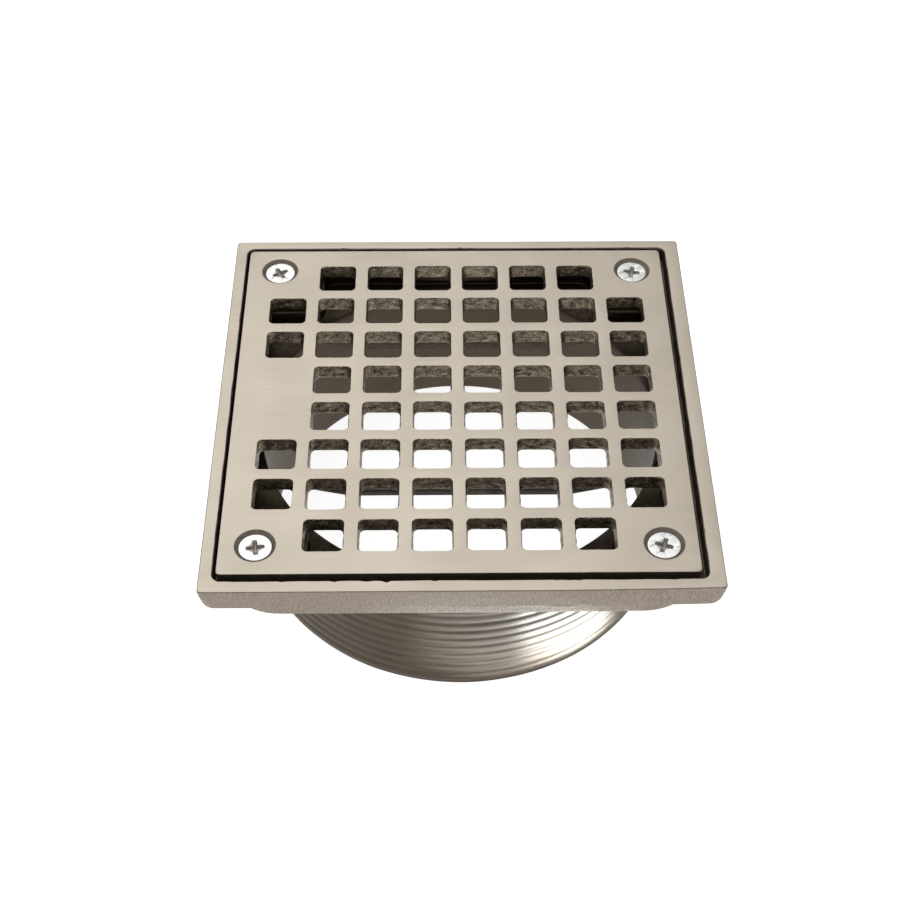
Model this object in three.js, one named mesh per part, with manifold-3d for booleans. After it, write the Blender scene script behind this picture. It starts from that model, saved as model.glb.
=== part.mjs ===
// Square floor drain strainer: a cast frame with a threaded shank, a loose cast grate
// and the four countersunk screws that hold it down.
// Millimetres, +Z up. The origin is the centre of the shank's bottom end, the front is
// -Y, and the grate's blank pad lies towards -X.

import * as THREE from "three";
import { mergeGeometries, mergeVertices } from "three/addons/utils/BufferGeometryUtils.js";
import Module from "manifold-3d";

const wasm = await Module();
wasm.setup();

const INCH = 25.4;
const OVERCUT = 1; // how far a cutter runs past the face that it opens
const CORNER_STEPS = 2; // half the sides in one rounded corner
const ROUND_STEPS = 40; // sides in the shank's circles
const SMALL_STEPS = 24; // sides in a screw's circles

// Frame and shank.
const HEIGHT = 48.2;
const FRAME_SIDE = 5 * INCH;
const FRAME_THICKNESS = INCH / 4;
const FRAME_CORNER = 2.6;
const FRAME_EDGE = 0.5;
const BOX_SIDE = 120;
const BOX_CORNER = 15;
const BOX_EDGE = 0.5;
const BOX_DROP = 13.4; // from the top face to the box's underside
const LIP_SIDE = 120.4;
const LIP_CORNER = 2;
const LIP_CENTRE = [-0.25, 0.35];
const LEDGE_DROP = 4.3;
const POCKET_SIDE = 110;
const POCKET_CORNER = 5;
const POCKET_DROP = 8.7;
const BOSS_SIDE = 17;
const BORE_RADIUS_BOTTOM = 51.8;
const BORE_RADIUS_TOP = 52.5;
const COLLAR_RADIUS = 57.5;
const COLLAR_DROP = 17;

// Pipe thread, 4 inch, 8 turns to the inch.
const THREAD_RADIUS = 2.25 * INCH;
const THREAD_PITCH = INCH / 8;
const THREAD_HEIGHT = 2;
const THREAD_CHAMFER = 0.5;
// One turn of the ridge, as [share of the pitch, depth below the crest].
const THREAD_ROWS = [
  [0, THREAD_HEIGHT],
  [0.12, THREAD_HEIGHT],
  [0.45, 0],
  [0.67, 0],
];

// Grate. The grid of openings sits a little off the frame's centre, as cast.
const GRID_CENTRE = [-0.5, 0.86];
const GRID_COUNT = 8;
const GRID_PITCH = 13.386;
const GRATE_SIDE = 117.4;
const GRATE_CORNER = 1;
const GRATE_CENTRE = [-0.75, 0.66];
const GRATE_THICKNESS = 4;
const OPENING_SIDE = 10.05;
const OPENING_CORNER = 1.7;
const OPENING_STEPS = 1; // half the sides in one corner of an opening
const OPENING_DRAFT = 0.94; // size at the underside over size at the top
const PAD_ROWS = [3, 4]; // the blank pad takes the first opening of these rows
const RIB_DEPTH = 7.1; // from the top face
const RIB_WIDTH = 3.1;
const RIB_FLAT = 28;
const RIB_END = 39;
const RIB_OFFSET = 2 * GRID_PITCH;

// Screws, number 8-32 by 3/8 inch, flat head, 82 degrees.
const SCREW_OFFSET = 50;
const SCREW_RADIUS = 2.05;
const SCREW_LENGTH = (3 * INCH) / 8;
const SCREW_TIP = 0.6;
const HEAD_RADIUS = 4.15;
const HEAD_RIM = 0.25;
const HEAD_SINK = 0.72;
const SINK_SLOPE = Math.tan(THREE.MathUtils.degToRad(41));
const SINK_RADIUS = 5.06;
const SCREW_HOLE_RADIUS = 2.45;
const DRIVE_SPAN = 4.7;
const DRIVE_WIDTH = 1.1;
const DRIVE_DEPTH = 1.7;
const SCREWS = [
  { name: "screw_front_left", side: [-1, -1], turn: 8 },
  { name: "screw_front_right", side: [1, -1], turn: -20 },
  { name: "screw_back_left", side: [-1, 1], turn: 30 },
  { name: "screw_back_right", side: [1, 1], turn: -12 },
];

const NICKEL_BRONZE = { color: 0xcdc4b4, roughness: 0.42, metalness: 0.9 };
const BODY_BRONZE = { color: 0xbfb4a2, roughness: 0.5, metalness: 0.9 };
const STEEL = { color: 0xd8d8d6, roughness: 0.25, metalness: 1 };

// A closed three.js geometry as a solid that can be joined and cut.
function solidOf(geometry) {
  const bare = geometry.clone();
  bare.deleteAttribute("normal");
  bare.deleteAttribute("uv");
  const merged = mergeVertices(bare);
  const mesh = new wasm.Mesh({
    numProp: 3,
    vertProperties: new Float32Array(merged.attributes.position.array),
    triVerts: new Uint32Array(merged.index.array),
  });
  return new wasm.Manifold(mesh);
}

function geometryOf(solid) {
  const mesh = solid.getMesh();
  const geometry = new THREE.BufferGeometry();
  geometry.setAttribute("position", new THREE.BufferAttribute(mesh.vertProperties, 3));
  geometry.setIndex(new THREE.BufferAttribute(mesh.triVerts, 1));
  const faceted = geometry.toNonIndexed();
  faceted.computeVertexNormals();
  return faceted;
}

function roundedSquare(side, corner, [x, y] = [0, 0]) {
  const half = side / 2;
  const inner = half - corner;
  const shape = new THREE.Shape();
  shape.absarc(x + inner, y - inner, corner, -Math.PI / 2, 0);
  shape.absarc(x + inner, y + inner, corner, 0, Math.PI / 2);
  shape.absarc(x - inner, y + inner, corner, Math.PI / 2, Math.PI);
  shape.absarc(x - inner, y - inner, corner, Math.PI, 1.5 * Math.PI);
  return shape;
}

function prism(shape, bottom, top, steps = CORNER_STEPS) {
  const depth = top - bottom;
  const settings = { depth, bevelEnabled: false, curveSegments: steps };
  return new THREE.ExtrudeGeometry(shape, settings).translate(0, 0, bottom);
}

// A cast slab: its lower edge is rounded over, its upper face is cut sharp.
function castSlab(side, corner, edge, bottom, top) {
  const settings = {
    depth: top - bottom,
    bevelThickness: edge,
    bevelSize: edge,
    bevelOffset: -edge,
    bevelSegments: 2,
    curveSegments: CORNER_STEPS,
  };
  const slab = new THREE.ExtrudeGeometry(roundedSquare(side, corner), settings);
  slab.translate(0, 0, bottom + edge);
  const above = prism(roundedSquare(side + 2, corner), top, top + 3 * edge);
  return solidOf(slab).subtract(solidOf(above));
}

// A solid of revolution about +Z from [radius, height] pairs that start and end on the axis.
function turned(profile, steps) {
  const points = profile.map(([radius, height]) => new THREE.Vector2(radius, height));
  return new THREE.LatheGeometry(points, steps).rotateX(Math.PI / 2);
}

function cylinder(radius, bottom, top, steps) {
  return turned([[0, bottom], [radius, bottom], [radius, top], [0, top]], steps);
}

// The thread's ridge follows a right-hand helix: one turn up the grid's columns is the
// same as one ridge up its rows. A fan to the axis closes each end.
function threadedRod(bottom, top) {
  const ridge = THREAD_ROWS.length;
  const turns = Math.ceil((top - bottom) / THREAD_PITCH) + 2;
  const rows = turns * ridge;
  const start = bottom - 1.5 * THREAD_PITCH;
  const positions = [];
  for (let row = 0; row <= rows + ridge; row += 1) {
    const [share, depth] = THREAD_ROWS[row % ridge];
    const radius = THREAD_RADIUS - depth;
    for (let column = 0; column < ROUND_STEPS; column += 1) {
      const turn = column / ROUND_STEPS;
      const angle = 2 * Math.PI * turn;
      const height = start + THREAD_PITCH * (Math.floor(row / ridge) + share + turn);
      positions.push(radius * Math.cos(angle), radius * Math.sin(angle), height);
    }
  }
  const lowCentre = positions.length / 3;
  positions.push(0, 0, start);
  positions.push(0, 0, start + THREAD_PITCH * (turns + 1));

  const at = (row, column) => {
    const wraps = column === ROUND_STEPS;
    return wraps ? (row + ridge) * ROUND_STEPS : row * ROUND_STEPS + column;
  };
  const triangles = [];
  for (let column = 0; column < ROUND_STEPS; column += 1) {
    for (let row = 0; row < rows; row += 1) {
      triangles.push(at(row, column), at(row, column + 1), at(row + 1, column + 1));
      triangles.push(at(row, column), at(row + 1, column + 1), at(row + 1, column));
    }
    triangles.push(lowCentre, at(0, column + 1), at(0, column));
    triangles.push(lowCentre + 1, at(rows, column), at(rows, column + 1));
  }
  for (let row = 0; row < ridge; row += 1) {
    triangles.push(lowCentre, at(row, 0), at(row + 1, 0));
    triangles.push(lowCentre + 1, at(rows + row + 1, 0), at(rows + row, 0));
  }
  const rod = new THREE.BufferGeometry();
  rod.setAttribute("position", new THREE.Float32BufferAttribute(positions, 3));
  rod.setIndex(triangles);
  return rod;
}

function screwCentre([sideX, sideY]) {
  return [GRID_CENTRE[0] + sideX * SCREW_OFFSET, GRID_CENTRE[1] + sideY * SCREW_OFFSET];
}

// The grate's four screws share their places with the tapped holes below them.
function atEachScrew(makeGeometry) {
  const copies = SCREWS.map(({ side }) => {
    const [x, y] = screwCentre(side);
    return makeGeometry().translate(x, y, 0);
  });
  return solidOf(mergeGeometries(copies));
}

function shank() {
  const collarBottom = HEIGHT - COLLAR_DROP;
  const boxBottom = HEIGHT - BOX_DROP;
  const envelope = turned(
    [
      [0, 0],
      [THREAD_RADIUS - THREAD_CHAMFER, 0],
      [THREAD_RADIUS, THREAD_CHAMFER],
      [THREAD_RADIUS, collarBottom + OVERCUT],
      [0, collarBottom + OVERCUT],
    ],
    ROUND_STEPS,
  );
  const collar = cylinder(COLLAR_RADIUS, collarBottom, boxBottom + OVERCUT, ROUND_STEPS);
  const threads = solidOf(threadedRod(0, collarBottom)).intersect(solidOf(envelope));
  return threads.add(solidOf(collar));
}

function pocket() {
  const ledge = HEIGHT - LEDGE_DROP;
  const floor = HEIGHT - POCKET_DROP;
  const hollow = solidOf(prism(roundedSquare(POCKET_SIDE, POCKET_CORNER), floor, ledge + OVERCUT));
  const bossReach = (POCKET_SIDE - BOSS_SIDE) / 2 + OVERCUT;
  const bosses = SCREWS.map(({ side }) => {
    const centre = [side[0] * bossReach, side[1] * bossReach];
    const outline = roundedSquare(BOSS_SIDE + 2 * OVERCUT, POCKET_CORNER, centre);
    return prism(outline, floor - OVERCUT, ledge);
  });
  return hollow.subtract(solidOf(mergeGeometries(bosses)));
}

function bore() {
  const floor = HEIGHT - POCKET_DROP;
  return turned(
    [
      [0, -OVERCUT],
      [BORE_RADIUS_BOTTOM, -OVERCUT],
      [BORE_RADIUS_TOP, floor + OVERCUT],
      [0, floor + OVERCUT],
    ],
    ROUND_STEPS,
  );
}

function strainerBody() {
  const ledge = HEIGHT - LEDGE_DROP;
  const flangeBottom = HEIGHT - FRAME_THICKNESS;
  const boxBottom = HEIGHT - BOX_DROP;
  const tapped = () => cylinder(SCREW_HOLE_RADIUS, boxBottom - OVERCUT, HEIGHT, SMALL_STEPS);
  const recess = roundedSquare(LIP_SIDE, LIP_CORNER, LIP_CENTRE);
  return castSlab(FRAME_SIDE, FRAME_CORNER, FRAME_EDGE, flangeBottom, HEIGHT)
    .add(castSlab(BOX_SIDE, BOX_CORNER, BOX_EDGE, boxBottom, flangeBottom + OVERCUT))
    .add(shank())
    .subtract(solidOf(prism(recess, ledge, HEIGHT + OVERCUT)))
    .subtract(pocket())
    .subtract(solidOf(bore()))
    .subtract(atEachScrew(tapped));
}

function gridPlace(index) {
  return (index - (GRID_COUNT - 1) / 2) * GRID_PITCH;
}

// Screws take the grid's four corners, and the blank pad takes two places at the left.
function isOpen(column, row) {
  const last = GRID_COUNT - 1;
  const atCorner = (column === 0 || column === last) && (row === 0 || row === last);
  const onPad = column === 0 && PAD_ROWS.includes(row);
  return !atCorner && !onPad;
}

// One opening, drafted so that it narrows towards the underside.
function openingCutter(x, y) {
  const outline = roundedSquare(OPENING_SIDE, OPENING_CORNER);
  const bottom = -RIB_DEPTH;
  const cutter = prism(outline, bottom, OVERCUT, OPENING_STEPS);
  const place = cutter.attributes.position;
  const narrowing = (1 - OPENING_DRAFT) / GRATE_THICKNESS;
  for (let index = 0; index < place.count; index += 1) {
    const scale = 1 + narrowing * place.getZ(index);
    place.setX(index, x + scale * place.getX(index));
    place.setY(index, y + scale * place.getY(index));
  }
  return cutter;
}

function openings() {
  const cutters = [];
  for (let row = 0; row < GRID_COUNT; row += 1) {
    for (let column = 0; column < GRID_COUNT; column += 1) {
      if (isOpen(column, row)) {
        cutters.push(openingCutter(gridPlace(column), gridPlace(row)));
      }
    }
  }
  return solidOf(mergeGeometries(cutters));
}

// A stiffening rib under one bar: full depth in the middle, running out at both ends.
function rib(y) {
  const root = -GRATE_THICKNESS + OVERCUT / 2;
  const side = new THREE.Shape();
  side.moveTo(-RIB_END, root);
  side.lineTo(-RIB_END, -GRATE_THICKNESS);
  side.lineTo(-RIB_FLAT, -RIB_DEPTH);
  side.lineTo(RIB_FLAT, -RIB_DEPTH);
  side.lineTo(RIB_END, -GRATE_THICKNESS);
  side.lineTo(RIB_END, root);
  side.closePath();
  const settings = { depth: RIB_WIDTH, bevelEnabled: false };
  const bar = new THREE.ExtrudeGeometry(side, settings);
  bar.rotateX(Math.PI / 2);
  return solidOf(bar.translate(0, y + RIB_WIDTH / 2, 0));
}

// The grate is drawn about the centre of its grid, with its top face at z = 0.
function grate() {
  const centre = [GRATE_CENTRE[0] - GRID_CENTRE[0], GRATE_CENTRE[1] - GRID_CENTRE[1]];
  const plate = prism(roundedSquare(GRATE_SIDE, GRATE_CORNER, centre), -GRATE_THICKNESS, 0);
  const coneDepth = (SINK_RADIUS - SCREW_HOLE_RADIUS) / SINK_SLOPE;
  const countersink = () => turned(
    [
      [0, -GRATE_THICKNESS - OVERCUT],
      [SCREW_HOLE_RADIUS, -GRATE_THICKNESS - OVERCUT],
      [SCREW_HOLE_RADIUS, -coneDepth],
      [SINK_RADIUS + OVERCUT * SINK_SLOPE, OVERCUT],
      [0, OVERCUT],
    ],
    SMALL_STEPS,
  );
  const sinks = SCREWS.map(({ side }) => {
    return countersink().translate(side[0] * SCREW_OFFSET, side[1] * SCREW_OFFSET, 0);
  });
  return solidOf(plate)
    .add(rib(-RIB_OFFSET))
    .add(rib(RIB_OFFSET))
    .subtract(openings())
    .subtract(solidOf(mergeGeometries(sinks)));
}

// A screw is drawn with the top of its head at z = 0.
function screw() {
  const coneBottom = HEAD_RIM + (HEAD_RADIUS - SCREW_RADIUS) / SINK_SLOPE;
  const blank = turned(
    [
      [0, -SCREW_LENGTH],
      [SCREW_RADIUS - SCREW_TIP, -SCREW_LENGTH],
      [SCREW_RADIUS, -SCREW_LENGTH + SCREW_TIP],
      [SCREW_RADIUS, -coneBottom],
      [HEAD_RADIUS, -HEAD_RIM],
      [HEAD_RADIUS, 0],
      [0, 0],
    ],
    SMALL_STEPS,
  );
  const height = DRIVE_DEPTH + OVERCUT;
  const lift = OVERCUT - height / 2;
  const along = new THREE.BoxGeometry(DRIVE_SPAN, DRIVE_WIDTH, height).translate(0, 0, lift);
  const across = new THREE.BoxGeometry(DRIVE_WIDTH, DRIVE_SPAN, height).translate(0, 0, lift);
  return solidOf(blank).subtract(solidOf(along)).subtract(solidOf(across));
}

function piece(name, solid, finish) {
  const mesh = new THREE.Mesh(geometryOf(solid), new THREE.MeshStandardMaterial(finish));
  mesh.name = name;
  return mesh;
}

const strainer = new THREE.Group();
strainer.add(piece("strainer_body", strainerBody(), BODY_BRONZE));

const grateMesh = piece("grate", grate(), NICKEL_BRONZE);
grateMesh.position.set(GRID_CENTRE[0], GRID_CENTRE[1], HEIGHT);
strainer.add(grateMesh);

for (const { name, side, turn } of SCREWS) {
  const screwMesh = piece(name, screw(), STEEL);
  const [x, y] = screwCentre(side);
  screwMesh.position.set(x, y, HEIGHT - HEAD_SINK);
  screwMesh.rotation.z = THREE.MathUtils.degToRad(turn);
  strainer.add(screwMesh);
}

export default strainer;
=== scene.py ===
import math

import bmesh
import bpy
from mathutils import Matrix, Vector, noise
from mathutils.geometry import delaunay_2d_cdt


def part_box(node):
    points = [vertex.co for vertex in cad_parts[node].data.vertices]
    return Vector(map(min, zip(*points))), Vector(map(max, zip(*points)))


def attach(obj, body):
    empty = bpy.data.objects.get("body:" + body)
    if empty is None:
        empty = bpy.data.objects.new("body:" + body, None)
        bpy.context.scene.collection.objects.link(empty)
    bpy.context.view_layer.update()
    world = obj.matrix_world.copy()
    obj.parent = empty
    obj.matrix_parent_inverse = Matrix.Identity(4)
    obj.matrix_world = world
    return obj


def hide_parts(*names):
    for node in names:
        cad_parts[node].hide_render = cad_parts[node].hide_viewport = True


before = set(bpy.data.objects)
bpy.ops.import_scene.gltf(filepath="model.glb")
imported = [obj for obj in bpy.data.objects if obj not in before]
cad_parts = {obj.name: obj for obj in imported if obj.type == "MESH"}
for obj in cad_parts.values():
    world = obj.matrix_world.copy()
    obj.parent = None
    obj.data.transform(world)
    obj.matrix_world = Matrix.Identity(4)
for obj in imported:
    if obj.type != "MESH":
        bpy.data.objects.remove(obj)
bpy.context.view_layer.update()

# Unseeded, noise_vector gives other values at each run.
noise.seed_set(1)

# Lengths below are in millimetres, in the frame of the CAD model: +Z up, -Y to the front.
MM = 0.001


def box_mm(node):
    """The lowest and highest corner of a CAD node, in millimetres."""
    low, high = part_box(node)
    return low / MM, high / MM


SCREWS = ("screw_front_left", "screw_front_right", "screw_back_left", "screw_back_right")
SCREW_TURN = dict(zip(SCREWS, (8, -20, 30, -12)))  # of the cross recess, in degrees

BODY_HIGH = box_mm("strainer_body")[1]
GRATE_LOW, GRATE_HIGH = box_mm("grate")
SCREW_BOX = {name: box_mm(name) for name in SCREWS}
SCREW_PLACE = {name: (low + high) / 2 for name, (low, high) in SCREW_BOX.items()}

TOP = BODY_HIGH.z
HALF = BODY_HIGH.x
GRATE_HALF = (GRATE_HIGH.x - GRATE_LOW.x) / 2
GRATE_CENTRE = (GRATE_LOW + GRATE_HIGH) / 2
GRID_CENTRE = sum(SCREW_PLACE.values(), Vector()) / len(SCREWS)

FLANGE_DEPTH = 6.35
FLANGE_BOTTOM = TOP - FLANGE_DEPTH
BOX_BOTTOM = TOP - 13.4
BOX_HALF = 60
BOX_CORNER = 15
LEDGE = TOP - 4.3
FLOOR = TOP - 8.7
LIP_HALF = 59.9
LIP_CENTRE = (-0.35, 0.15)
LIP_CORNER = 2.2
LIP_STRETCH = 0.25  # how much further the recess reaches to the front and to the back
LEAN_START = 12  # x where the front of the casting starts to lean back
LEAN = 0.6  # how far it leans at its right corner
POCKET_HALF = 55
BOSS_EDGE = 38
COLLAR_RADIUS = 57.5
COLLAR_BOTTOM = TOP - 17
THREAD_RADIUS = 57.15
THREAD_PITCH = 25.4 / 8
THREAD_DEPTH = 0.22  # worn, as far as the photo shows it
GROOVE_HALF = 0.4  # half the groove's width, as a share of the pitch
END_EDGE = 0.5  # bevel at the shank's end
BORE_BOTTOM_RADIUS = 51.8
BORE_TOP_RADIUS = 52.5
TAPPED_RADIUS = 2.45
TAPPED_GROOVE = 0.3  # depth of the tapped holes' grooves

GRID_COUNT = 8
GRID_PITCH = 13.386
PLATE_DEPTH = 4
PLATE_BOTTOM = TOP - PLATE_DEPTH
OPENING_HALF = 5.03
OPENING_CORNER = 1.4
PAD_ROWS = (3, 4)
RIB_ROWS = (2, 6)
RIB_HALF = 1.55
RIB_FLAT = 28
RIB_END = 39
SINK_RADIUS = 5.06
SINK_SLOPE = math.tan(math.radians(41))

HEAD_RADIUS = 4.15
SHANK_RADIUS = 2.05
SCREW_PITCH = 25.4 / 32
SCREW_THREAD_DEPTH = 0.42

BRUSHED, CAST, WALL, TURNED, BORED, PAINTED_SHADE = range(6)  # material places on the two castings
STEEL, RECESS = range(2)  # material places on a screw


# ---------------------------------------------------------------- outlines

def rounded_square(half, corner, side_steps, corner_steps, centre=(0, 0)):
    """Points round a square with round corners, anticlockwise, as many for any size."""
    inner = half - corner
    quarter = []
    for step in range(side_steps):
        quarter.append((half, inner * (2 * step / side_steps - 1)))
    for step in range(corner_steps):
        angle = math.pi / 2 * step / corner_steps
        quarter.append((inner + corner * math.cos(angle), inner + corner * math.sin(angle)))
    return four_turns(quarter, centre)


def four_turns(quarter, centre=(0, 0)):
    """A quarter of an outline, turned to go all the way round."""
    points = list(quarter)
    for _ in range(3):
        quarter = [(-y, x) for x, y in quarter]
        points += quarter
    return [(centre[0] + x, centre[1] + y) for x, y in points]


def circle(radius, steps, centre=(0, 0)):
    """Points round a circle, anticlockwise."""
    angles = [2 * math.pi * step / steps for step in range(steps)]
    return [(centre[0] + radius * math.cos(a), centre[1] + radius * math.sin(a)) for a in angles]


def arc(centre, radius, start, sweep, steps):
    """Points along an arc, from start through sweep degrees, without its last one."""
    points = []
    for step in range(steps):
        angle = math.radians(start + sweep * step / steps)
        points.append((centre[0] + radius * math.cos(angle), centre[1] + radius * math.sin(angle)))
    return points


def pocket_outline(inset):
    """The pocket under the grate: a square whose corners are taken by the screw bosses."""
    wall = POCKET_HALF - inset
    edge = BOSS_EDGE - inset
    dip = 3  # radius where a boss meets the pocket's wall
    round_ = 5  # radius of a boss's own corner
    quarter = [(wall, (edge - dip) * (step / 12 - 1)) for step in range(24)]
    quarter += arc((wall - dip, edge - dip), dip, 0, 90, 5)
    quarter += arc((edge + round_, edge + round_), round_, -90, -90, 6)
    quarter += arc((edge - dip, wall - dip), dip, 0, 90, 5)
    return four_turns(quarter)


def encloses(outline, point):
    """Whether a point lies inside: a ray from it crosses the outline an odd number of times."""
    inside = False
    for (x1, y1), (x2, y2) in zip(outline, outline[1:] + outline[:1]):
        if (y1 > point.y) != (y2 > point.y):
            if point.x < x1 + (point.y - y1) * (x2 - x1) / (y2 - y1):
                inside = not inside
    return inside


def rough(point, amount, size, seed=0):
    """A point moved by smooth noise: amount is the usual shift, size the bumps' spacing."""
    shift = noise.noise_vector(Vector(point) / size + Vector((seed, 17 * seed, 5)))
    return Vector(point) + 2 * amount * shift


# ---------------------------------------------------------------- closed shells

class Shell:
    """A closed surface put together from loops of points, in millimetres."""

    def __init__(self):
        self.mesh = bmesh.new()

    def vertex(self, point):
        return self.mesh.verts.new(Vector(point) * MM)

    def loop(self, outline, height):
        return [self.vertex((x, y, height)) for x, y in outline]

    def cast_loop(self, outline, height, amount, size):
        """A loop whose points are moved by the roughness of a casting."""
        points = [rough((x, y, height), amount, size) for x, y in outline]
        return [self.vertex(point) for point in points]

    def face(self, corners, finish):
        unique = list(dict.fromkeys(corners))
        if len(unique) > 2:
            self.mesh.faces.new(unique).material_index = finish

    def wall(self, loops, finish):
        """Four-sided faces between each loop and the next."""
        for first, second in zip(loops, loops[1:]):
            for index in range(len(first)):
                after = (index + 1) % len(first)
                self.face((first[index], first[after], second[after], second[index]), finish)

    def flat(self, loops, finish):
        """A level surface between an outer loop and the loops inside it, in triangles.
        One that joins points of a single loop may lie outside the outer loop or inside
        an inner one, and is left out."""
        vertices = [vertex for loop in loops for vertex in loop]
        owner = [number for number, loop in enumerate(loops) for _ in loop]
        edges = []
        start = 0
        for loop in loops:
            count = len(loop)
            edges += [(start + index, start + (index + 1) % count) for index in range(count)]
            start += count
        places = [vertex.co.xy / MM for vertex in vertices]
        inside_only = 1
        nearest = 1e-6
        result = delaunay_2d_cdt(places, edges, [], inside_only, nearest, True)
        faces, sources = result[2], result[3]
        for corners in faces:
            picked = [sources[corner][0] for corner in corners]
            owners = {owner[index] for index in picked}
            number = owner[picked[0]]
            if len(owners) == 1:
                middle = sum((places[index] for index in picked), Vector((0, 0))) / 3
                within = encloses([vertex.co.xy / MM for vertex in loops[number]], middle)
                is_inner_loop = number > 0
                if within == is_inner_loop:
                    continue
            self.face([vertices[index] for index in picked], finish)

    def cone(self, loop, tip, finish):
        """Three-sided faces between a loop and a point."""
        apex = self.vertex(tip)
        for index, corner in enumerate(loop):
            self.face((corner, loop[(index + 1) % len(loop)], apex), finish)

    def helix(self, low_loop, high_loop, low, high, pitch, rows, radius_at, centre, finish):
        """A right-hand threaded wall between two loops. radius_at takes a share of one
        turn of the ridge and a height. Rows past either end shrink onto that end's loop."""
        columns = len(low_loop)
        turns = math.ceil((high - low) / pitch) + 1
        margin = 0.02 * pitch
        grid = {}

        def place(row, column):
            if column == columns:
                row, column = row + rows, 0
            if (row, column) not in grid:
                turn = column / columns
                height = low + pitch * (row / rows - 1 + turn)
                radius = radius_at(row / rows % 1, height)
                angle = 2 * math.pi * turn
                x = centre[0] + radius * math.cos(angle)
                y = centre[1] + radius * math.sin(angle)
                if height < low + margin:
                    grid[row, column] = low_loop[column]
                elif height > high - margin:
                    grid[row, column] = high_loop[column]
                else:
                    grid[row, column] = self.vertex((x, y, height))
            return grid[row, column]

        for row in range((turns + 1) * rows):
            for column in range(columns):
                corners = (
                    place(row, column),
                    place(row, column + 1),
                    place(row + 1, column + 1),
                    place(row + 1, column),
                )
                self.face(corners, finish)

    def piece(self, name, materials):
        """Closes the work and makes it an object, shaded smooth by the size of its faces."""
        bmesh.ops.recalc_face_normals(self.mesh, faces=self.mesh.faces)
        for face in self.mesh.faces:
            face.smooth = True
        mesh = bpy.data.meshes.new(name)
        self.mesh.to_mesh(mesh)
        self.mesh.free()
        for material in materials:
            mesh.materials.append(material)
        thing = bpy.data.objects.new(name, mesh)
        bpy.context.scene.collection.objects.link(thing)
        normals = thing.modifiers.new("even_normals", "WEIGHTED_NORMAL")
        normals.weight = 80
        return thing


# ---------------------------------------------------------------- materials

# Upright faces mirror the bright floor, so theirs are darker than the alloy's own colours.

class Finish:
    """A procedural metal, built from noise measured in millimetres."""

    def __init__(self, name, metallic):
        self.material = bpy.data.materials.new(name)
        self.material.use_nodes = True
        self.nodes = self.material.node_tree.nodes
        self.links = self.material.node_tree.links
        self.shader = self.nodes["Principled BSDF"]
        self.shader.inputs["Metallic"].default_value = metallic
        self.place = self.nodes.new("ShaderNodeTexCoord").outputs["Object"]

    def grain(self, size, detail=3, seed=(0, 0, 0)):
        """Noise whose bumps are size = (x, y, z) millimetres long."""
        mapping = self.nodes.new("ShaderNodeMapping")
        mapping.inputs["Scale"].default_value = [1 / (length * MM) for length in size]
        mapping.inputs["Location"].default_value = seed
        self.links.new(self.place, mapping.inputs["Vector"])
        texture = self.nodes.new("ShaderNodeTexNoise")
        texture.inputs["Scale"].default_value = 1
        texture.inputs["Detail"].default_value = detail
        self.links.new(mapping.outputs["Vector"], texture.inputs["Vector"])
        return texture.outputs["Fac"]

    def spread(self, value, low, high):
        """Noise runs from about 0.3 to 0.7; this takes that to low..high."""
        node = self.nodes.new("ShaderNodeMapRange")
        node.inputs["From Min"].default_value = 0.3
        node.inputs["From Max"].default_value = 0.7
        node.inputs["To Min"].default_value = low
        node.inputs["To Max"].default_value = high
        self.links.new(value, node.inputs["Value"])
        return node.outputs["Result"]

    def blend(self, factor, first, second):
        """A colour between two others, each a colour or another node's output."""
        node = self.nodes.new("ShaderNodeMix")
        node.data_type = "RGBA"
        self.links.new(factor, node.inputs["Factor"])
        colour_sockets = [s for s in node.inputs if s.type == "RGBA"]
        for socket, colour in zip(colour_sockets, (first, second)):
            if isinstance(colour, bpy.types.NodeSocket):
                self.links.new(colour, socket)
            else:
                socket.default_value = (*colour, 1)
        return [s for s in node.outputs if s.type == "RGBA"][0]

    def bump(self, heights):
        """Bumps stacked on each other, each a (noise, millimetres high) pair."""
        normal = None
        for value, height in heights:
            node = self.nodes.new("ShaderNodeBump")
            node.inputs["Distance"].default_value = height * MM
            self.links.new(value, node.inputs["Height"])
            if normal is not None:
                self.links.new(normal, node.inputs["Normal"])
            normal = node.outputs["Normal"]
        self.links.new(normal, self.shader.inputs["Normal"])

    def finish(self, colour, roughness):
        self.links.new(colour, self.shader.inputs["Base Color"])
        self.links.new(roughness, self.shader.inputs["Roughness"])
        return self.material


def brushed_bronze():
    """The ground top faces: fine lines from side to side, and soft changes of tone."""
    metal = Finish("brushed_nickel_bronze", metallic=1)
    lines = metal.grain((14, 0.14, 2))
    wide_lines = metal.grain((40, 0.9, 2), seed=(3, 1, 0))
    clouds = metal.grain((22, 16, 22), detail=2)
    light = (0.66, 0.585, 0.485)
    dark = (0.57, 0.505, 0.415)
    tone = metal.blend(metal.spread(clouds, 0, 1), light, dark)
    colour = metal.blend(metal.spread(wide_lines, 0, 0.35), tone, (0.60, 0.56, 0.48))
    metal.bump([(lines, 0.012), (clouds, 0.05)])
    return metal.finish(colour, metal.spread(lines, 0.36, 0.5))


def cast_bronze():
    """The skin left by the mould: a fine, upright grain in two browns."""
    metal = Finish("cast_nickel_bronze", metallic=1)
    coarse = metal.grain((0.5, 0.5, 1.3), detail=4)
    fine = metal.grain((0.22, 0.22, 0.3), detail=3, seed=(5, 2, 1))
    stain = metal.grain((9, 9, 5), detail=3, seed=(1, 8, 2))
    tone = metal.blend(metal.spread(coarse, 0, 1), (0.20, 0.166, 0.135), (0.315, 0.270, 0.223))
    colour = metal.blend(metal.spread(stain, 0, 0.4), tone, (0.265, 0.224, 0.182))
    metal.bump([(coarse, 0.09), (fine, 0.05)])
    return metal.finish(colour, metal.spread(fine, 0.42, 0.6))


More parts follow.
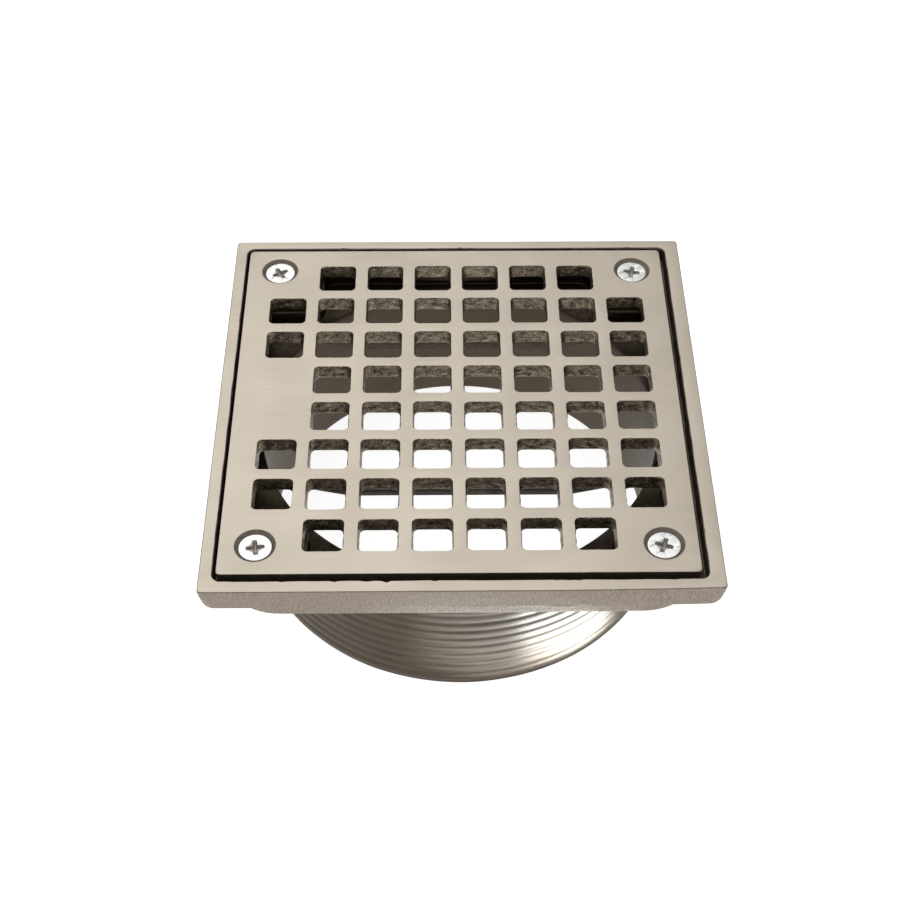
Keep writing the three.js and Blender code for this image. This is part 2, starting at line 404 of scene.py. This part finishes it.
def wall_bronze():
    """The openings' walls: rough sand casting, dark, with bumpy grains that catch the light, and
    painted glints: sparse bright flecks in the colour.
    """
    metal = Finish("opening_wall_bronze", metallic=1)
    coarse = metal.grain((2.0, 2.0, 1.1), detail=5)
    fine = metal.grain((0.38, 0.38, 0.32), detail=4, seed=(5, 2, 1))
    stain = metal.grain((3, 3, 3), detail=3, seed=(1, 8, 2))
    tone = metal.blend(metal.spread(coarse, 0, 1), (0.045, 0.036, 0.027), (0.50, 0.42, 0.31))
    stained = metal.blend(metal.spread(stain, 0, 0.6), tone, (0.13, 0.102, 0.072))
    # Painted glints: the fine noise puts sparse near-white flecks into the colour.
    colour = metal.blend(metal.spread(fine, -1.4, 0.9), stained, (0.85, 0.75, 0.60))
    metal.bump([(coarse, 0.45), (fine, 0.2)])
    return metal.finish(colour, metal.spread(fine, 0.22, 0.55))


def turned_bronze():
    """The thread and the shank's end, lathe-turned: fine level rings."""
    metal = Finish("turned_nickel_bronze", metallic=1)
    rings = metal.grain((60, 60, 0.16), detail=2)
    smears = metal.grain((9, 9, 2.2), detail=4, seed=(2, 4, 6))
    colour = metal.blend(metal.spread(smears, 0, 1), (0.066, 0.051, 0.037), (0.096, 0.075, 0.055))
    metal.bump([(rings, 0.006)])
    return metal.finish(colour, metal.spread(smears, 0.42, 0.5))


def bored_bronze():
    """The bore, the pocket's walls and the tapped holes: smooth, dull and brown."""
    metal = Finish("bore_nickel_bronze", metallic=1)
    rings = metal.grain((25, 25, 0.5), detail=2)
    smears = metal.grain((14, 14, 8), detail=3, seed=(4, 1, 3))
    colour = metal.blend(metal.spread(smears, 0, 1), (0.074, 0.056, 0.040), (0.116, 0.091, 0.066))
    metal.bump([(rings, 0.006)])
    return metal.finish(colour, metal.spread(smears, 0.42, 0.55))


def painted_shade_bronze():
    """The ledge, the pocket's floor and the ribs: dull and brown, darker than the alloy's own
    colour, as painted shade for where the grate keeps the light off.
    """
    metal = Finish("painted_shade_nickel_bronze", metallic=1)
    coarse = metal.grain((1.2, 1.2, 1.2), detail=5)
    stain = metal.grain((7, 7, 7), detail=3, seed=(1, 8, 2))
    # Painted shade: both browns are darker than the alloy's own, for the shade under the grate.
    tone = metal.blend(metal.spread(coarse, 0, 1), (0.055, 0.043, 0.031), (0.115, 0.092, 0.068))
    colour = metal.blend(metal.spread(stain, 0, 0.6), tone, (0.075, 0.059, 0.043))
    metal.bump([(coarse, 0.15)])
    return metal.finish(colour, metal.spread(stain, 0.5, 0.65))


def screw_steel():
    """Bright stainless steel, with the faint rings of its making."""
    metal = Finish("bright_steel", metallic=1)
    rings = metal.grain((6, 0.1, 0.3), detail=2)
    patches = metal.grain((2.5, 2.5, 2.5), detail=3)
    colour = metal.blend(metal.spread(patches, 0, 1), (0.95, 0.95, 0.94), (0.86, 0.86, 0.86))
    metal.bump([(rings, 0.003)])
    return metal.finish(colour, metal.spread(patches, 0.28, 0.36))


def painted_shade_recess_steel():
    """The struck cross recess: duller than the head round it, and darker with painted shade."""
    metal = Finish("painted_shade_recess_steel", metallic=1)
    patches = metal.grain((0.5, 0.5, 0.5), detail=3)
    # Painted shade: the recess's colours are darker than the head's steel, for the shade inside
    # it.
    colour = metal.blend(metal.spread(patches, 0, 1), (0.42, 0.38, 0.35), (0.62, 0.58, 0.54))
    metal.bump([(patches, 0.05)])
    return metal.finish(colour, metal.spread(patches, 0.45, 0.6))


# ---------------------------------------------------------------- the body casting

def frame_sides(shell):
    """The flange's outside: its four corners are sharp above and round below."""
    profile = (
        # depth, inset, plan radius of the corners
        (0, 0.22, 0.8),
        (0.07, 0.07, 0.9),
        (0.22, 0, 1.0),
        (1.4, 0, 1.3),
        (2.8, 0, 1.9),
        (4.2, 0.02, 2.7),
        (5.4, 0.03, 3.4),
        (6.0, 0.05, 3.7),
        (6.3, 0.06, 3.8),
        (FLANGE_DEPTH, 0.11, 3.8),
    )
    loops = []
    for depth, inset, corner in profile:
        outline = fall_away(rounded_square(HALF - inset, corner, 60, 8))
        grained = 0.06 if 0.5 < depth < 6.3 else 0
        loops.append(keep_in(shell, outline, TOP - depth, grained))
    shell.wall(loops, CAST)
    return loops[0], loops[-1]


def fall_away(outline):
    """The front of the casting leans back a little towards its right corner."""
    points = []
    for x, y in outline:
        share = max(0, (x - LEAN_START) / (HALF - LEAN_START))
        points.append((x, y + LEAN * share * share * max(0, -y / HALF)))
    return points


def keep_in(shell, outline, height, amount):
    """A cast loop whose grain never stands out past the frame's sides."""
    grain_size = 2.2
    points = [rough((x, y, height), amount, grain_size) for x, y in outline]
    for point in points:
        point.x = max(-HALF, min(HALF, point.x))
        point.y = max(-HALF, min(HALF, point.y))
    return [shell.vertex(point) for point in points]


def under_box(shell):
    """The square box that hangs below the flange."""
    grain_size = 2.2
    profile = ((0, 0), (0.3, 0), (1.5, 0), (4, 0.02), (6, 0.05), (7, 0.08), (7.05, 0.13))
    loops = []
    for depth, inset in profile:
        outline = fall_away(rounded_square(BOX_HALF - inset, BOX_CORNER - inset, 44, 14))
        grained = 0.07 if 0 < depth < 7 else 0
        loops.append(shell.cast_loop(outline, FLANGE_BOTTOM - depth, grained, grain_size))
    shell.wall(loops, CAST)
    return loops[0], loops[-1]


def thread_radius(share, height):
    """The pipe thread's radius: a wide worn crest and a narrow groove with soft edges."""
    off_groove = abs(share - 0.5) / GROOVE_HALF
    ridge = 1 if off_groove > 1 else 0.5 - 0.5 * math.cos(math.pi * off_groove)
    run_out_length = 1.3 * THREAD_PITCH
    run_out = min(1, max(0, (COLLAR_BOTTOM - height) / run_out_length))
    end_rise = min(1, height / END_EDGE)
    radius = THREAD_RADIUS - THREAD_DEPTH * (1 - ridge) * run_out * end_rise
    return min(radius, THREAD_RADIUS + height - END_EDGE)


def shank(shell):
    """The collar, the thread, the end face and the bore."""
    steps = 240
    thread_rows = 14  # along one pitch
    inner_bevel = 0.35
    collar = ((57.9, 0), (57.6, 0.12), (COLLAR_RADIUS, 0.4), (COLLAR_RADIUS, 3), (57.3, 3.4))
    loops = [shell.loop(circle(r, steps), BOX_BOTTOM - drop) for r, drop in collar]
    thread_top = shell.loop(circle(THREAD_RADIUS, steps), COLLAR_BOTTOM)
    shell.wall(loops + [thread_top], CAST)
    thread_foot = shell.loop(circle(THREAD_RADIUS - END_EDGE, steps), 0)
    span = (0, COLLAR_BOTTOM)
    thread = (*span, THREAD_PITCH, thread_rows, thread_radius)
    shell.helix(thread_foot, thread_top, *thread, (0, 0), TURNED)
    inner_edge = shell.loop(circle(BORE_BOTTOM_RADIUS + inner_bevel, steps), 0)
    shell.wall([thread_foot, inner_edge], TURNED)
    bore = [inner_edge, shell.loop(circle(BORE_BOTTOM_RADIUS, steps), inner_bevel)]
    rings = 26
    for ring in range(1, rings):
        share = ring / rings
        radius = BORE_BOTTOM_RADIUS + share * (BORE_TOP_RADIUS - BORE_BOTTOM_RADIUS)
        height = inner_bevel + share * (FLOOR - 0.9)
        bore.append(shell.cast_loop(circle(radius, steps), height, amount=0.02, size=6))
    bore.append(shell.loop(circle(BORE_TOP_RADIUS + 0.15, steps), FLOOR - 0.2))
    bore.append(shell.loop(circle(BORE_TOP_RADIUS + 0.5, steps), FLOOR))
    shell.wall(bore, BORED)
    return loops[0], bore[-1]


def pocket_walls(shell):
    """From the pocket's floor up to the ledge that the grate rests on."""
    grain_size = 1.8
    profile = ((0, 0.5), (0.15, 0.2), (0.5, 0.03), (2.4, -0.05), (4.0, -0.1), (4.4, -0.4))
    loops = []
    for rise, inset in profile:
        grained = 0.08 if 0 < rise < 4.3 else 0
        loops.append(shell.cast_loop(pocket_outline(inset), FLOOR + rise, grained, grain_size))
    shell.wall(loops, BORED)
    return loops[0], loops[-1]


def lip_outline(grow):
    """The recess for the grate, a little longer from front to back than across."""
    points = []
    for x, y in rounded_square(LIP_HALF + grow, LIP_CORNER + grow, 110, 7):
        points.append((LIP_CENTRE[0] + x, LIP_CENTRE[1] + y + math.copysign(LIP_STRETCH, y)))
    return points


def recess_walls(shell):
    """From the ledge up to the rim: a rough wall with small nicks along its top edge."""
    grain_size = 2.5
    profile = ((0, 0.5), (0.12, 0.2), (0.45, 0.04), (1.6, 0), (2.8, 0), (3.7, 0))
    loops = []
    for rise, inset in profile:
        grained = 0.1 if rise > 0 else 0
        loops.append(shell.cast_loop(lip_outline(-inset), LEDGE + rise, grained, grain_size))
    for grow, height in ((0, TOP - 0.3), (0.1, TOP - 0.12), (0.26, TOP)):
        points = [nicked(x, y, height) for x, y in lip_outline(grow)]
        loops.append([shell.vertex(point) for point in points])
    shell.wall(loops, CAST)
    return loops[0], loops[-1]


def nicked(x, y, height):
    """A point on the frame's inner edge, moved outwards by shallow waves and a few dents."""
    wave_length = 4.5
    wave_depth = 0.12
    dent_length = 1.6
    dent_depth = 1.1
    dent_rarity = 0.34  # the noise below this leaves no dent
    wave = noise.noise(Vector((x, y, 3)) / wave_length)
    dent = max(0, noise.noise(Vector((x, y, 40)) / dent_length) - dent_rarity)
    reach = Vector((x, y, 0)) - Vector((*LIP_CENTRE, 0))
    if abs(reach.y) >= abs(reach.x):
        outward = Vector((0, reach.y, 0))
    else:
        outward = Vector((reach.x, 0, 0))
    outward.normalize()
    return Vector((x, y, height)) + outward * (wave_depth * wave + dent_depth * dent)


def tapped_hole(shell, place):
    """A number 8-32 tapped hole through a boss: level grooves at the thread's pitch."""
    steps = 32
    crest = circle(TAPPED_RADIUS, steps, place)
    groove = circle(TAPPED_RADIUS + TAPPED_GROOVE, steps, place)
    loops = [shell.loop(groove, LEDGE)]
    turns = int((LEDGE - BOX_BOTTOM - 0.6) / SCREW_PITCH)
    for turn in range(turns):
        height = LEDGE - 0.25 - turn * SCREW_PITCH
        loops.append(shell.loop(crest, height))
        loops.append(shell.loop(groove, height - SCREW_PITCH / 2))
    loops.append(shell.loop(crest, BOX_BOTTOM + 0.2))
    loops.append(shell.loop(circle(TAPPED_RADIUS + 0.2, steps, place), BOX_BOTTOM))
    shell.wall(loops, BORED)
    return loops[0], loops[-1]


def body_casting():
    """The frame, the box below it and the shank, in one closed shell."""
    shell = Shell()
    rim_outside, flange_foot = frame_sides(shell)
    box_head, box_foot = under_box(shell)
    collar_head, bore_head = shank(shell)
    pocket_foot, pocket_head = pocket_walls(shell)
    recess_foot, rim_inside = recess_walls(shell)
    holes = [tapped_hole(shell, place.xy) for place in SCREW_PLACE.values()]
    shell.flat([rim_outside, rim_inside], BRUSHED)
    shell.flat([flange_foot, box_head], CAST)
    shell.flat([box_foot, collar_head] + [foot for _, foot in holes], CAST)
    # The pocket's floor and the ledge, under the grate, take the colour with painted shade.
    shell.flat([pocket_foot, bore_head], PAINTED_SHADE)
    shell.flat([recess_foot, pocket_head] + [mouth for mouth, _ in holes], PAINTED_SHADE)
    return shell


# ---------------------------------------------------------------- the grate

def is_open(column, row):
    """Screws take the grid's four corners, and the blank pad two places at the left."""
    last = GRID_COUNT - 1
    at_corner = column in (0, last) and row in (0, last)
    on_pad = column == 0 and row in PAD_ROWS
    return not at_corner and not on_pad


def grid_place(column, row):
    """The middle of one place in the grid, seen from above."""
    middle = (GRID_COUNT - 1) / 2
    x = GRID_CENTRE.x + (column - middle) * GRID_PITCH
    y = GRID_CENTRE.y + (row - middle) * GRID_PITCH
    return x, y


OPENING_PROFILE = (
    # depth, inset, extra corner radius, grain
    (0, -0.08, 0, 0.03),
    (0.08, 0, 0.1, 0.03),
    (0.4, 0.03, 0.1, 0.08),
    (0.8, 0.06, 0.1, 0.11),
    (1.2, 0.1, 0.1, 0.12),
    (1.6, 0.13, 0.1, 0.12),
    (2.0, 0.16, 0.1, 0.12),
    (2.4, 0.19, 0.1, 0.12),
    (2.8, 0.22, 0.1, 0.12),
    (3.2, 0.24, 0.1, 0.1),
    (3.6, 0.25, 0.1, 0.07),
    (3.87, 0.25, 0.1, 0.03),
    (PLATE_DEPTH, 0.2, 0.1, 0),
)


def opening(shell, column, row):
    """One cast opening: crisp above, drafted below, and a little off its place and size."""
    seed = 1 + column + GRID_COUNT * row
    x, y = grid_place(column, row)
    drift = noise.noise_vector(Vector((seed, 0.5, 0.5)) * 1.37)
    off_place = 0.15
    off_size = 0.1
    centre = (x + off_place * drift.x, y + off_place * drift.y)
    grow = off_size * drift.z
    grain_size = 1.0
    loops = []
    for depth, inset, rounder, grain in OPENING_PROFILE:
        half = OPENING_HALF + grow - inset
        outline = rounded_square(half, OPENING_CORNER + rounder, 14, 7, centre)
        points = [rough((px, py, TOP - depth), grain, grain_size, seed) for px, py in outline]
        if depth in (0, PLATE_DEPTH):
            for point in points:
                point.z = TOP - depth
        loops.append([shell.vertex(point) for point in points])
    shell.wall(loops, WALL)
    return loops[0], loops[-1]


def countersink(shell, place):
    """A screw's hole through the grate: a cone above a short straight part."""
    steps = 48
    straight = TAPPED_RADIUS
    cone_depth = (SINK_RADIUS - straight) / SINK_SLOPE
    profile = (
        (SINK_RADIUS + 0.08, 0),
        (SINK_RADIUS - 0.05, 0.08),
        (straight + 0.05, cone_depth - 0.08),
        (straight, cone_depth + 0.05),
        (straight, PLATE_DEPTH - 0.1),
        (straight + 0.1, PLATE_DEPTH),
    )
    loops = [shell.loop(circle(radius, steps, place), TOP - depth) for radius, depth in profile]
    shell.wall(loops, CAST)
    return loops[0], loops[-1]


def rib(shell, y):
    """A stiffening rib: full depth in the middle, running out at both ends."""
    full = PLATE_BOTTOM - GRATE_LOW.z
    end_depth = 0.15
    taper = 0.25  # how much each side leans in towards the rib's edge
    steps = 78
    rails = []
    for side, share in ((-1, 0), (-1, 0.3), (-1, 1), (0, 1), (1, 1), (1, 0.3), (1, 0)):
        rail = []
        for step in range(steps + 1):
            x = RIB_END * (2 * step / steps - 1)
            slope = (RIB_END - abs(x)) / (RIB_END - RIB_FLAT)
            depth = end_depth + (full - end_depth) * min(1, max(0, slope))
            offset = side * (RIB_HALF - taper * share)
            point = (GRID_CENTRE.x + x, y + offset, PLATE_BOTTOM - depth * share)
            rail.append(shell.vertex(point))
        rails.append(rail)
    # The rib's sides and ends take the colour with painted shade.
    for first, second in zip(rails, rails[1:]):
        for step in range(steps):
            corners = (first[step], first[step + 1], second[step + 1], second[step])
            shell.face(corners, PAINTED_SHADE)
    for end in (0, steps):
        shell.face([rail[end] for rail in rails], PAINTED_SHADE)
    return rails[0] + rails[-1][::-1]


def grate_edge(shell):
    """The plate's outside, with a crisp ground edge and a rounded lower one."""
    profile = (
        # depth, inset
        (0, 0.1),
        (0.1, 0),
        (1.2, 0),
        (2.4, 0.06),
        (3.5, 0.15),
        (3.85, 0.3),
        (PLATE_DEPTH, 0.6),
    )
    grain_size = 3
    centre = (GRATE_CENTRE.x, GRATE_CENTRE.y)
    loops = []
    for depth, inset in profile:
        corner = 1 + 0.3 * depth
        outline = rounded_square(GRATE_HALF - inset, corner, 100, 6, centre)
        grained = 0.07 if 0 < depth < PLATE_DEPTH else 0
        loops.append([])
        for x, y in outline:
            point = rough((x, y, TOP - depth), grained, grain_size)
            point.x = max(GRATE_LOW.x, min(GRATE_HIGH.x, point.x))
            point.y = max(GRATE_LOW.y, min(GRATE_HIGH.y, point.y))
            loops[-1].append(shell.vertex(point))
    shell.wall(loops, CAST)
    return loops[0], loops[-1]


def grate_casting():
    """The plate with its openings, countersinks and ribs, in one closed shell."""
    shell = Shell()
    pairs = [grate_edge(shell)]
    for row in range(GRID_COUNT):
        for column in range(GRID_COUNT):
            if is_open(column, row):
                pairs.append(opening(shell, column, row))
    pairs += [countersink(shell, place.xy) for place in SCREW_PLACE.values()]
    ribs = []
    for row in RIB_ROWS:
        ribs.append(rib(shell, grid_place(0, row)[1] - GRID_PITCH / 2))
    shell.flat([above for above, _ in pairs], BRUSHED)
    shell.flat([below for _, below in pairs] + ribs, CAST)
    return shell


# ---------------------------------------------------------------- screws

def cross_outline(span, width, centre, turn):
    """A cross with blunt arms: span is from the middle to an arm's end."""
    half = width / 2
    nose = min(half, 0.35)  # radius of an arm's corners
    elbow = 0.3 * width  # radius between two arms
    quarter = arc((span - nose, -half + nose), nose, -90, 90, 4)
    quarter += arc((span - nose, half - nose), nose, 0, 90, 4)
    quarter += [(span - nose, half), ((span - nose + half + elbow) / 2, half)]
    quarter += arc((half + elbow, half + elbow), elbow, -90, -90, 4)
    quarter += [(half, half + elbow), (half, (span - nose + half + elbow) / 2)]
    cosine, sine = math.cos(turn), math.sin(turn)
    points = []
    for x, y in four_turns(quarter):
        points.append((centre.x + x * cosine - y * sine, centre.y + x * sine + y * cosine))
    return points


def screw_thread_radius(share, _height):
    """The screw thread's radius: a sharp crest, two flanks and a narrow flat root."""
    off_crest = abs(share - 0.5)
    flank = 1 / 2.3  # the width of a flank, as a share of the pitch
    return SHANK_RADIUS - SCREW_THREAD_DEPTH * min(1, off_crest / flank)


def screw(name):
    """A flat-head machine screw: cross recess, 82 degree cone and threaded shank."""
    shell = Shell()
    low, high = SCREW_BOX[name]
    centre = SCREW_PLACE[name].xy
    turn = math.radians(SCREW_TURN[name])
    top, tip = high.z, low.z
    steps = 48
    thread_rows = 8  # along one pitch
    rim = 0.3  # height of the head's upright edge
    cone_foot = rim + (HEAD_RADIUS - SHANK_RADIUS) / SINK_SLOPE
    head = ((HEAD_RADIUS - 0.2, 0), (HEAD_RADIUS - 0.05, 0.05), (HEAD_RADIUS, 0.16))
    head += ((HEAD_RADIUS, 0.28), (HEAD_RADIUS - 0.06, 0.38), (SHANK_RADIUS, cone_foot))
    loops = [shell.loop(circle(radius, steps, centre), top - drop) for radius, drop in head]
    shell.wall(loops, STEEL)
    foot = shell.loop(circle(SHANK_RADIUS - 0.5, steps, centre), tip)
    thread = (tip, top - cone_foot, SCREW_PITCH, thread_rows, screw_thread_radius)
    shell.helix(foot, loops[-1], *thread, centre, STEEL)
    shell.flat([foot], STEEL)
    recess_profile = (
        # depth, span, arm width
        (0, 2.35, 1.2),
        (0.08, 2.27, 1.1),
        (0.7, 1.95, 0.95),
        (1.3, 1.6, 0.85),
    )
    recess_depth = 1.6
    recess = []
    for drop, span, width in recess_profile:
        recess.append(shell.loop(cross_outline(span, width, centre, turn), top - drop))
    shell.wall(recess, RECESS)
    shell.cone(recess[-1], (centre.x, centre.y, top - recess_depth), RECESS)
    shell.flat([loops[0], recess[0]], STEEL)
    return shell


# ---------------------------------------------------------------- the object

def place_pieces():
    """Makes each piece, and says what it rides on and which CAD node it replaces."""
    bronze = [brushed_bronze(), cast_bronze(), wall_bronze()]
    bronze += [turned_bronze(), bored_bronze(), painted_shade_bronze()]
    steel = [screw_steel(), painted_shade_recess_steel()]

    body = body_casting().piece("strainer_casting", bronze)
    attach(body, "frame")
    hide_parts("strainer_body")

    grate = grate_casting().piece("grate_casting", bronze)
    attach(grate, "grate")
    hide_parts("grate")

    for name in SCREWS:
        piece = screw(name).piece(name.replace("screw", "machine_screw"), steel)
        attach(piece, name)
        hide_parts(name)


# ---------------------------------------------------------------- camera, floor, light

def make_camera():
    """The photograph's view: from the front and above, a little rolled."""
    place = Vector((-4.6, -302.0, 361.4)) * MM
    target = Vector((0.3, -22.2, TOP)) * MM
    data = bpy.data.cameras.new("camera")
    data.lens = 64.18
    data.sensor_width = 36
    data.clip_start = 0.01
    camera = bpy.data.objects.new("camera", data)
    aim = (target - place).to_track_quat("-Z", "Y").to_matrix().to_4x4()
    roll = Matrix.Rotation(math.radians(0.45), 4, "Z")
    camera.matrix_world = Matrix.Translation(place) @ aim @ roll
    bpy.context.scene.collection.objects.link(camera)
    bpy.context.scene.camera = camera


def make_floor():
    """A pale floor that gives off its own light, in metres."""
    size = 40
    below = -0.00005  # just clear of the shank's end
    mesh = bpy.data.meshes.new("floor")
    corners = [(x * size, y * size, below) for x, y in ((-1, -1), (1, -1), (1, 1), (-1, 1))]
    mesh.from_pydata(corners, [], [(0, 1, 2, 3)])
    floor = bpy.data.objects.new("floor", mesh)
    bpy.context.scene.collection.objects.link(floor)
    material = bpy.data.materials.new("pale_floor")
    material.use_nodes = True
    shader = material.node_tree.nodes["Principled BSDF"]
    shader.inputs["Base Color"].default_value = (0.85, 0.85, 0.85, 1)
    shader.inputs["Roughness"].default_value = 0.9
    shader.inputs["Specular IOR Level"].default_value = 0
    shader.inputs["Emission Color"].default_value = (1, 1, 1, 1)
    shader.inputs["Emission Strength"].default_value = 0.86
    mesh.materials.append(material)


def soft_light(name, place, width, height, power):
    """An area light aimed at the middle of the object."""
    data = bpy.data.lights.new(name, "AREA")
    data.shape = "RECTANGLE"
    data.size = width
    data.size_y = height
    data.energy = power
    light = bpy.data.objects.new(name, data)
    light.location = place
    aim = Vector((0, 0, TOP * MM)) - Vector(place)
    light.rotation_euler = aim.to_track_quat("-Z", "Y").to_euler()
    bpy.context.scene.collection.objects.link(light)


def floor_panel(name, place, turn, length, width, power):
    """A small oval light that lies on the floor, for the shank's bright streak."""
    data = bpy.data.lights.new(name, "AREA")
    data.shape = "ELLIPSE"
    data.size = length
    data.size_y = width
    data.energy = power
    cool_white = (0.78, 0.9, 1.0)
    data.color = cool_white
    light = bpy.data.objects.new(name, data)
    light.location = place
    light.rotation_euler = (math.pi, 0, math.radians(turn))
    bpy.context.scene.collection.objects.link(light)


def make_light():
    scene = bpy.context.scene
    scene.world = bpy.data.worlds.new("studio")
    scene.world.use_nodes = True
    background = scene.world.node_tree.nodes["Background"]
    background.inputs["Color"].default_value = (1, 1, 1, 1)
    background.inputs["Strength"].default_value = 0.5
    soft_light("overhead", (-0.40, 0.62, 1.28), 1.6, 1.4, 5.8)
    floor_panel("streak", (0.0375, -0.0545, 0.0005), 35, 0.040, 0.014, 0.036)
    floor_panel("streak_halo", (0.019, -0.063, 0.0003), 17, 0.085, 0.012, 0.014)
    scene.view_settings.view_transform = "Standard"


make_camera()
make_floor()
make_light()
place_pieces()
